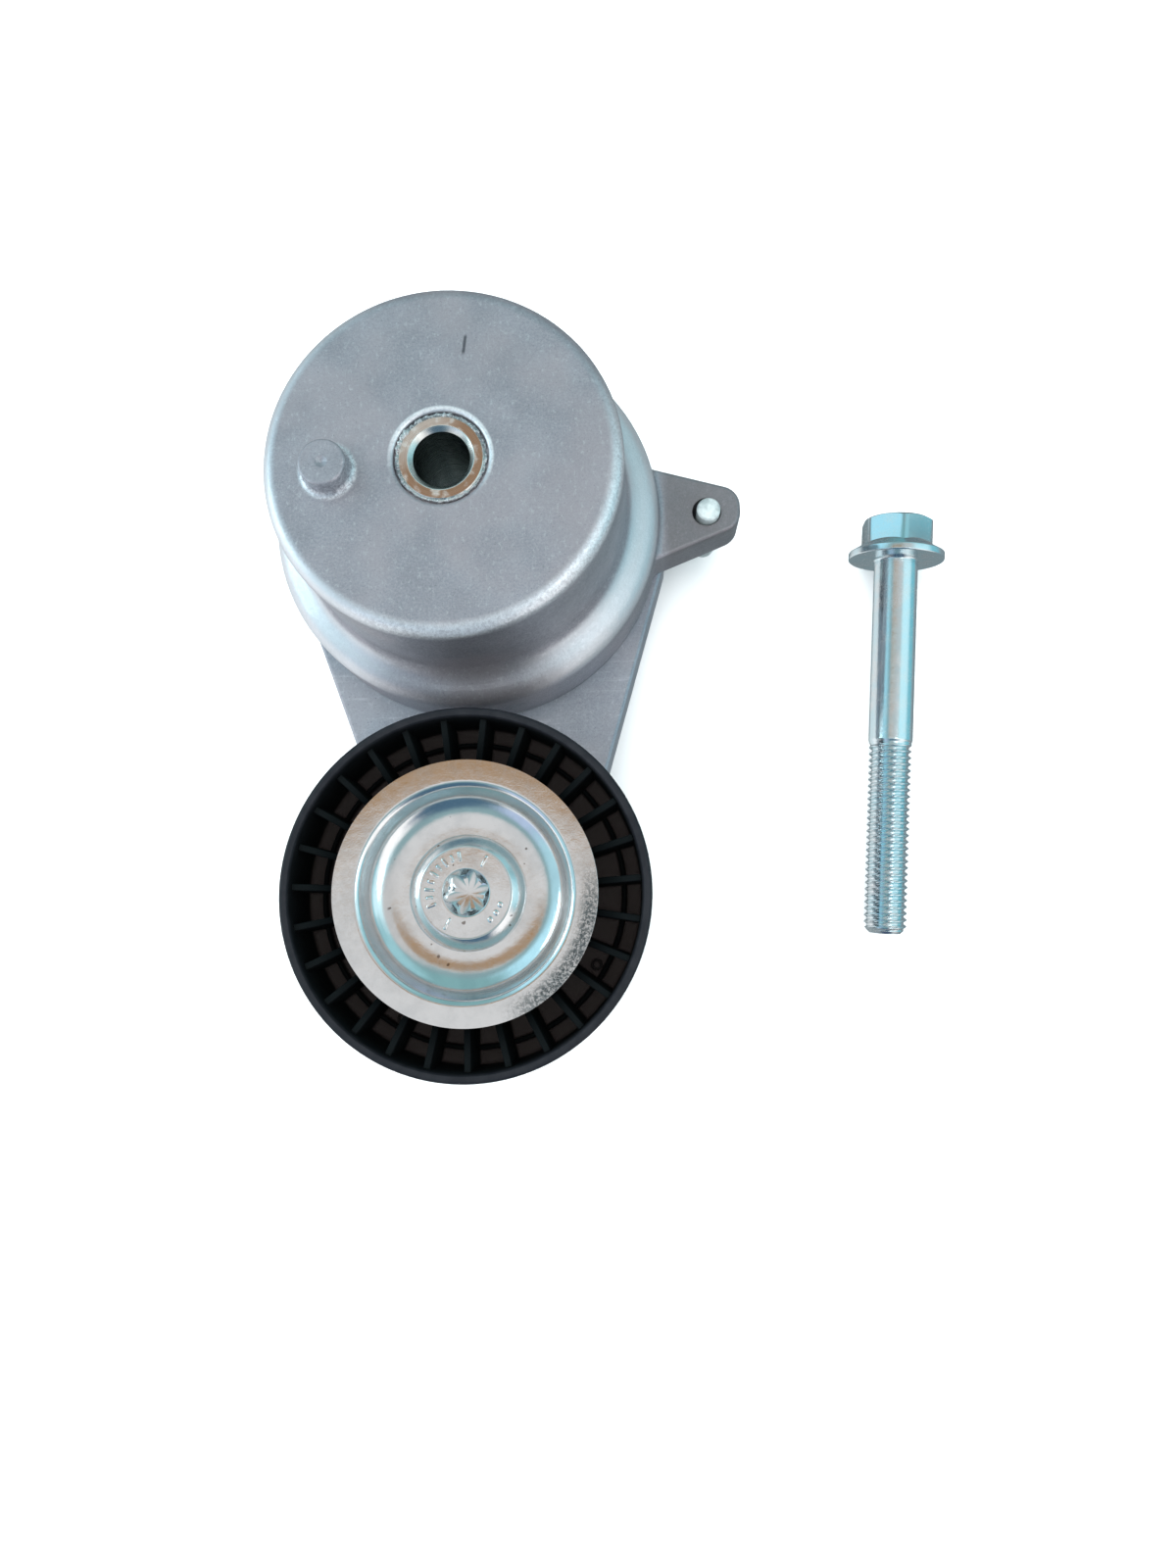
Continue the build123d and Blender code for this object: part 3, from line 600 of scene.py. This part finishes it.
# The pocket's floor with the middle ring: radius and height over the web
FLOOR_LINE = (
    (24.25, 0.0), (24.6, 0.6), (24.78, 0.2), (25.1, 0.0), (26.6, 0.0), (28.4, 0.0),
    (29.5, 0.05), (29.85, 0.25), (29.98, 0.6), (30.04, 1.4), (30.14, 1.7), (30.32, 1.8),
    (30.68, 1.8), (30.86, 1.7), (30.96, 1.4), (31.02, 0.6), (31.15, 0.25), (31.5, 0.05),
    (32.3, 0.0), (33.2, 0.0), (33.55, 0.15), (33.78, 0.5), (33.9, 1.1))
# The rim's inside and its rounded edge: radius and drop from the rim's end
RIM_LINE = (
    (34.0, 3.0), (34.06, 0.9), (34.2, 0.4), (34.45, 0.08), (34.8, 0.0), (35.35, 0.0),
    (35.65, 0.08), (35.88, 0.35), (35.98, 0.7), (36.0, 1.2))


def pulley_ring(r, rib_rise, height_at):
    """One row of points round the pulley, close together at each rib's sides."""
    side = [(d, rib_rise - drop) for d, drop in RIB_CREST] + list(RIB_FOOT)
    row = []
    for k in range(RIBS):
        middle = RIB_PHASE + RIB_PITCH * k
        spots = [(middle - asin(d / r), h) for d, h in side[:0:-1]]
        spots += [(middle + asin(d / r), h) for d, h in side]
        edge = asin(side[-1][0] / r)
        spots += [(middle + edge + (RIB_PITCH / 2 - edge) * t, 0.0) for t in (0.5, 1.0, 1.5)]
        row += [(r * cos(a), PULLEY_Y + r * sin(a), height_at(h)) for a, h in spots]
    return row


def pulley_rows():
    halves = []
    for side, web_z, rib_z, rim_z, hub_z in PULLEY_SIDES:
        rib_rise, rim_rise = side * (rib_z - web_z), side * (rim_z - web_z)
        line = FLOOR_LINE + tuple((r, rim_rise - drop) for r, drop in RIM_LINE)
        # The hub's edge, then the pocket from the hub's own wall out to the rim
        face = [pulley_ring(r, rib_rise, lambda rib, z=z: z)
                for r, z in ((23.9, hub_z), (24.15, hub_z - side * 0.1))]
        for r, h in line:
            def height_at(rib, r=r, h=h):
                over = max(h, rib if r < RIB_END_R else 0.0)
                if r < HUB_WALL_R:
                    over = max(over, side * (hub_z - web_z) - 0.4)
                return web_z + side * over
            face.append(pulley_ring(r, rib_rise, height_at))
        halves.append(face)
    front, rear = halves
    bore = [(18.9, -29.6), (18.9, -29.0), (20.0, -29.0), (20.0, -17.0), (18.9, -17.0),
            (18.9, -16.4), (20.2, -16.4), (22.6, -13.1), (22.8, -13.0)]
    bore = [pulley_ring(r, 1.0, lambda rib, z=z: z) for r, z in bore]
    return bore + front + rear[::-1]


GATE_R, FIRST_GATE = 28.6, 57.6


def gate(angle):
    """A small round gate mark on the pulley's web, beside the middle ring."""
    a = radians(angle)
    centre = (GATE_R * cos(a), PULLEY_Y + GATE_R * sin(a))
    line = eased(((0, WEB_FRONT_Z - 0.4, 0), (1.2, WEB_FRONT_Z - 0.4, 0),
                  (1.15, WEB_FRONT_Z + 1.0, 0.2), (0.7, WEB_FRONT_Z + 1.0, 0.1),
                  (0.55, WEB_FRONT_Z + 0.6, 0), (0, WEB_FRONT_Z + 0.6, 0)), closed=False)
    return woven(spun(line, centre, 28), closed=False)


piece("pulley_moulded", [woven(pulley_rows())] + [gate(FIRST_GATE + 90 * k) for k in range(4)],
      "pulley", "black_nylon", ["pulley"], sharp=38)


# ---- Pivot tube, and the metal staked over its end ----
STAKE_R, STAKE_Z = 8.60, -0.85
tube_line = eased((
    (TUBE_BORE_R, -65.4, 0), (6.3, -66.2, 0.2), (9.2, -66.2, 0.3), (9.6, -65.8, 0.3),
    (9.6, -65.4, 0), (TUBE_R, -65.4, 0), (TUBE_R, TUBE_END_Z - 0.4, 0.15),
    (TUBE_R - 0.4, TUBE_END_Z, 0.15), (TUBE_MOUTH_R, TUBE_END_Z, 0.12),
    (TUBE_BORE_R, TUBE_END_Z - 0.9, 0.15)))
piece("pivot_tube_turned", [woven(spun(tube_line, PIVOT_AT, steps=144))],
      "housing", "turned_steel", ["pivot_tube"], sharp=30)


def crushed(r, z, angle):
    """Staking pushes the edge in unevenly, so the ring wanders, swells and breaks up."""
    spot = Vector((3.2 * cos(angle), 3.2 * sin(angle), 0.0))
    swell = 1.0 + 0.7 * noise.noise(spot * 1.3) + 0.6 * noise.noise(spot * 4.3)
    swell = max(0.3, swell - 0.30 * cos(angle + radians(45)))
    drift = 0.16 * noise.noise(spot * 2.3 + Vector((9.0, 0.0, 0.0)))
    lift = 0.30 * noise.noise(spot * 5.1 + Vector((0.0, 7.0, 0.0)))
    return (min(9.18, STAKE_R + drift + (r - STAKE_R) * swell),
            min(-0.04, STAKE_Z + lift * swell + (z - STAKE_Z) * swell))


burr = [(STAKE_R + 0.42 * cos(t), STAKE_Z + 0.55 * sin(t))
        for t in (FULL_TURN * k / 12 for k in range(12))]
piece("staked_edge", [woven(spun(burr, PIVOT_AT, steps=360, shape=crushed))],
      "housing", "staked_metal", (), sharp=60)


# ---- Lock pin: chamfered foot and rounded top ----
PIN_R, PIN_FOOT_Z, PIN_TOP_Z = 2.6, -60.0, -34.0
pin_line = eased((
    (0, PIN_FOOT_Z, 0), (PIN_R - 0.4, PIN_FOOT_Z, 0.15), (PIN_R, PIN_FOOT_Z + 0.4, 0.15),
    (PIN_R, PIN_TOP_Z - 0.5, 0.2), (PIN_R - 0.4, PIN_TOP_Z - 0.12, 0.3),
    (0.9, PIN_TOP_Z - 0.02, 0), (0, PIN_TOP_Z, 0)), closed=False)
piece("lock_pin_turned", [woven(spun(pin_line, LOCK_PIN_AT, steps=64), closed=False)],
      "lock_pin", "pin_steel", ["lock_pin"], sharp=35)


# ---- Loose mounting bolt: rolled thread, smooth shank, flange and hexagon head ----
THREAD_FROM, BOLT_END, THREAD_PITCH, THREAD_DEPTH = 42.8, 87.3, 1.5, 0.66
SHANK_R, THREAD_R, TIP_CHAMFER = 5.0, 4.8, 1.5
HEX_APOTHEM, HEX_CORNER_R, FLANGE_R, FLANGE_T, HEAD_H = 7.5, 8.66, 11.0, 1.6, 9.6
THREAD_STEP, THREAD_END = 0.125, BOLT_END - 0.02
# It lies on its flange and its tip, so its axis slopes down toward the tip
BOLT_TILT = atan((FLANGE_R - SHANK_R) / (BOLT_END - TIP_CHAMFER))
BOLT_YAW = radians(5.55)
bolt_along = Vector((-sin(BOLT_YAW) * cos(BOLT_TILT), -cos(BOLT_YAW) * cos(BOLT_TILT),
                     -sin(BOLT_TILT)))
bolt_side = Vector((cos(BOLT_YAW), -sin(BOLT_YAW), 0.0))
bolt_up = bolt_along.cross(bolt_side)
bolt_base = Vector((98.1, -8.55, TABLE_Z + FLANGE_R * cos(BOLT_TILT)))


def hexagon(angle):
    """Distance from the head's axis to its side, with slightly rounded corners."""
    off = (angle + pi / 6) % (pi / 3) - pi / 6
    return min(HEX_APOTHEM / cos(off), HEX_CORNER_R - 0.22 + 0.9 * abs(abs(off) - pi / 6))


def thread_radius(s, angle):
    """Metric thread: flat crests, flat roots and 60 degree sides."""
    phase = (s / THREAD_PITCH - angle / FULL_TURN) % 1.0
    ramped = min(1.0, max(0.0, (0.5 - abs(phase - 0.5) - 0.0625) / 0.3125))
    run_out = step_up(s, THREAD_FROM + 0.3, THREAD_FROM + 1.8)
    shoulder = (SHANK_R - THREAD_R) * step_up(s, THREAD_FROM - 0.3, THREAD_FROM + 0.3)
    full = SHANK_R - shoulder - THREAD_DEPTH * ramped * run_out
    return min(full, SHANK_R - max(0.0, s - (BOLT_END - TIP_CHAMFER)))


def bolt_ring(spot_at, steps=96):
    """A row of points round the bolt. spot_at turns an angle into a radius and a station."""
    row = []
    for k in range(steps):
        angle = FULL_TURN * k / steps
        r, s = spot_at(angle)
        row.append(bolt_base + bolt_along * s
                   + (bolt_side * cos(angle) + bolt_up * sin(angle)) * r)
    return row


def foot(rise, out):
    """A row where the hexagon's sides rise from the flange's sloping back."""
    def spot_at(angle):
        r = hexagon(angle)
        return r + out, -FLANGE_T - (FLANGE_R - r) / tan(radians(60)) - rise
    return bolt_ring(spot_at)


def crown(inset, drop):
    """A row of the hexagon's top edge, whose corners are turned down by 30 degrees."""
    def spot_at(angle):
        r = hexagon(angle)
        fall = max(0.0, r - 7.25) * tan(radians(30))
        return r - inset, -HEAD_H + fall + drop
    return bolt_ring(spot_at)


def bolt_rows():
    rows = [bolt_ring(lambda a: (0.0, BOLT_END)), bolt_ring(lambda a: (3.3, BOLT_END))]
    for i in range(int((THREAD_END - THREAD_FROM + 0.4) / THREAD_STEP)):
        s = THREAD_END - THREAD_STEP * i
        rows.append(bolt_ring(lambda a, s=s: (thread_radius(s, a), s)))
    neck = eased(((SHANK_R, THREAD_FROM - 0.6, 0), (SHANK_R, 0.0, 0.7), (FLANGE_R, 0.0, 0.35),
                  (FLANGE_R, -FLANGE_T, 0.35), (9.6, -FLANGE_T - 0.81, 0)), closed=False)
    rows += [bolt_ring(lambda a, p=p: (p[0], p[1])) for p in neck]
    rows += [foot(-0.12, 0.35), foot(0.05, 0.1), foot(0.25, 0.0),
             crown(0.0, 0.25), crown(0.05, 0.06)]
    rows += [bolt_ring(lambda a, p=p: p) for p in (
        (7.2, -HEAD_H + 0.03), (7.0, -HEAD_H), (6.2, -HEAD_H), (5.9, -HEAD_H + 0.1),
        (5.6, -HEAD_H + 0.35), (5.2, -HEAD_H + 0.45), (0.0, -HEAD_H + 0.45))]
    return rows


piece("mounting_bolt_rolled", [woven(bolt_rows(), closed=False)],
      "mounting_bolt", "blue_zinc", ["mounting_bolt"], sharp=34)


# ---- Studio ----
def studio_world():
    """The studio as the bright metal sees it: white panels, and blue, teal and tan gaps."""
    world = bpy.data.worlds.new("studio")
    world.use_nodes = True
    tree = world.node_tree
    tree.nodes.clear()
    way = node(tree, "TexCoord").outputs["Generated"]
    x, y, z = split(tree, way)
    colour = mix(tree, ramp(tree, z, -0.35, -0.05), (0.34, 0.36, 0.38), (0.22, 0.24, 0.25))
    colour = mix(tree, ramp(tree, z, 0.22, 0.55), colour, (0.27, 0.42, 0.45))
    # azimuth, elevation, inner and outer half angle in degrees, and colour
    patches = (
        (0, -90, 45, 70, (0.24, 0.29, 0.31)),
        (185, -35, 22, 45, (0.85, 0.90, 0.92)),
        (202, 0, 28, 44, (1.10, 1.12, 1.14)),
        (308, 2, 14, 28, (1.12, 1.10, 1.10)),
        (270, 2, 12, 26, (0.06, 0.09, 0.16)),
        (0, 8, 12, 34, (0.24, 0.60, 0.70)),
        (0, 42, 16, 34, (0.74, 1.06, 1.14)),
        (315, 35, 14, 30, (1.22, 1.22, 1.22)),
        (270, 33, 14, 34, (0.08, 0.16, 0.24)),
        (215, 35, 10, 24, (0.50, 0.62, 0.84)),
        (182, 33, 14, 30, (0.45, 0.75, 0.85)),
        (140, 33, 14, 30, (0.55, 0.95, 1.10)),
        (90, 33, 18, 34, (0.24, 0.46, 0.48)),
        (45, 33, 14, 30, (0.36, 0.66, 0.72)),
        (180, 81.5, 11, 20, (0.72, 0.725, 0.73)),
        (30, 74, 9, 20, (0.62, 0.62, 0.62)),
    )
    for azimuth, elevation, inner, outer, tint in patches:
        a, e = radians(azimuth), radians(elevation)
        aim = (cos(e) * cos(a), cos(e) * sin(a), sin(e))
        near = node(tree, "VectorMath", {0: way, 1: aim}, operation="DOT_PRODUCT").outputs["Value"]
        amount = ramp(tree, near, cos(radians(outer)), cos(radians(inner)))
        colour = mix(tree, amount, colour, tint)
    # A tan strip overhead, from west to east
    east, north = calc(tree, "DIVIDE", x, z), calc(tree, "DIVIDE", y, z)
    strip = product(tree, band(tree, north, 0.072, 0.090, 0.22, 0.26),
                    band(tree, east, -0.48, -0.34, 0.02, 0.12), ramp(tree, z, 0.1, 0.2))
    colour = mix(tree, strip, colour, (0.40, 0.255, 0.14))
    shade = node(tree, "Background", {"Color": colour, "Strength": 1.0})
    tree.links.new(shade.outputs[0], node(tree, "OutputWorld").inputs[0])
    scene.world = world


def soft_light(name, spot, aim, size, watts, tint, mirrored):
    """A round lamp. Bright metal shows it only when mirrored is true."""
    lamp = bpy.data.lights.new(name, "AREA")
    lamp.shape, lamp.size, lamp.energy, lamp.color = "DISK", size, watts, tint
    obj = bpy.data.objects.new(name, lamp)
    obj.location = spot
    obj.rotation_euler = (Vector(aim) - Vector(spot)).to_track_quat("-Z", "Y").to_euler()
    obj.visible_glossy = mirrored
    scene.collection.objects.link(obj)


studio_world()
soft_light("overhead", (-0.15, -0.05, 1.1), (0.03, -0.05, -0.06), 1.7, 33.0,
           (1.0, 1.0, 1.0), False)
soft_light("west", (-0.31, 0.03, 0.11), (0.0, -0.02, -0.03), 0.17, 0.20,
           (0.80, 0.97, 1.0), True)
soft_light("southeast", (0.176, -0.12, 0.22), (0.0, -0.03, -0.03), 0.10, 0.055,
           (0.93, 0.97, 1.0), True)
scene.view_settings.view_transform = "Standard"

FLOOR_HALF = 3.0
floor_mesh = bpy.data.meshes.new("floor")
floor_mesh.from_pydata(
    [(sx * FLOOR_HALF, sy * FLOOR_HALF, TABLE_Z * MM)
     for sx, sy in ((-1, -1), (1, -1), (1, 1), (-1, 1))],
    [], [(0, 1, 2, 3)])
floor_obj = bpy.data.objects.new("floor", floor_mesh)
scene.collection.objects.link(floor_obj)
floor_obj.data.materials.append(material("floor_paint", moulded(
    (0.95, 0.95, 0.95), (0.94, 0.94, 0.94), 0.8, 0.02)))
floor_obj.visible_glossy = False

# The CAD bodies that show take the look of the slot they came with
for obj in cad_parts.values():
    slot_name = obj.material_slots[0].name.split(".")[0] if obj.material_slots else ""
    if slot_name in finish:
        obj.material_slots[0].material = finish[slot_name]
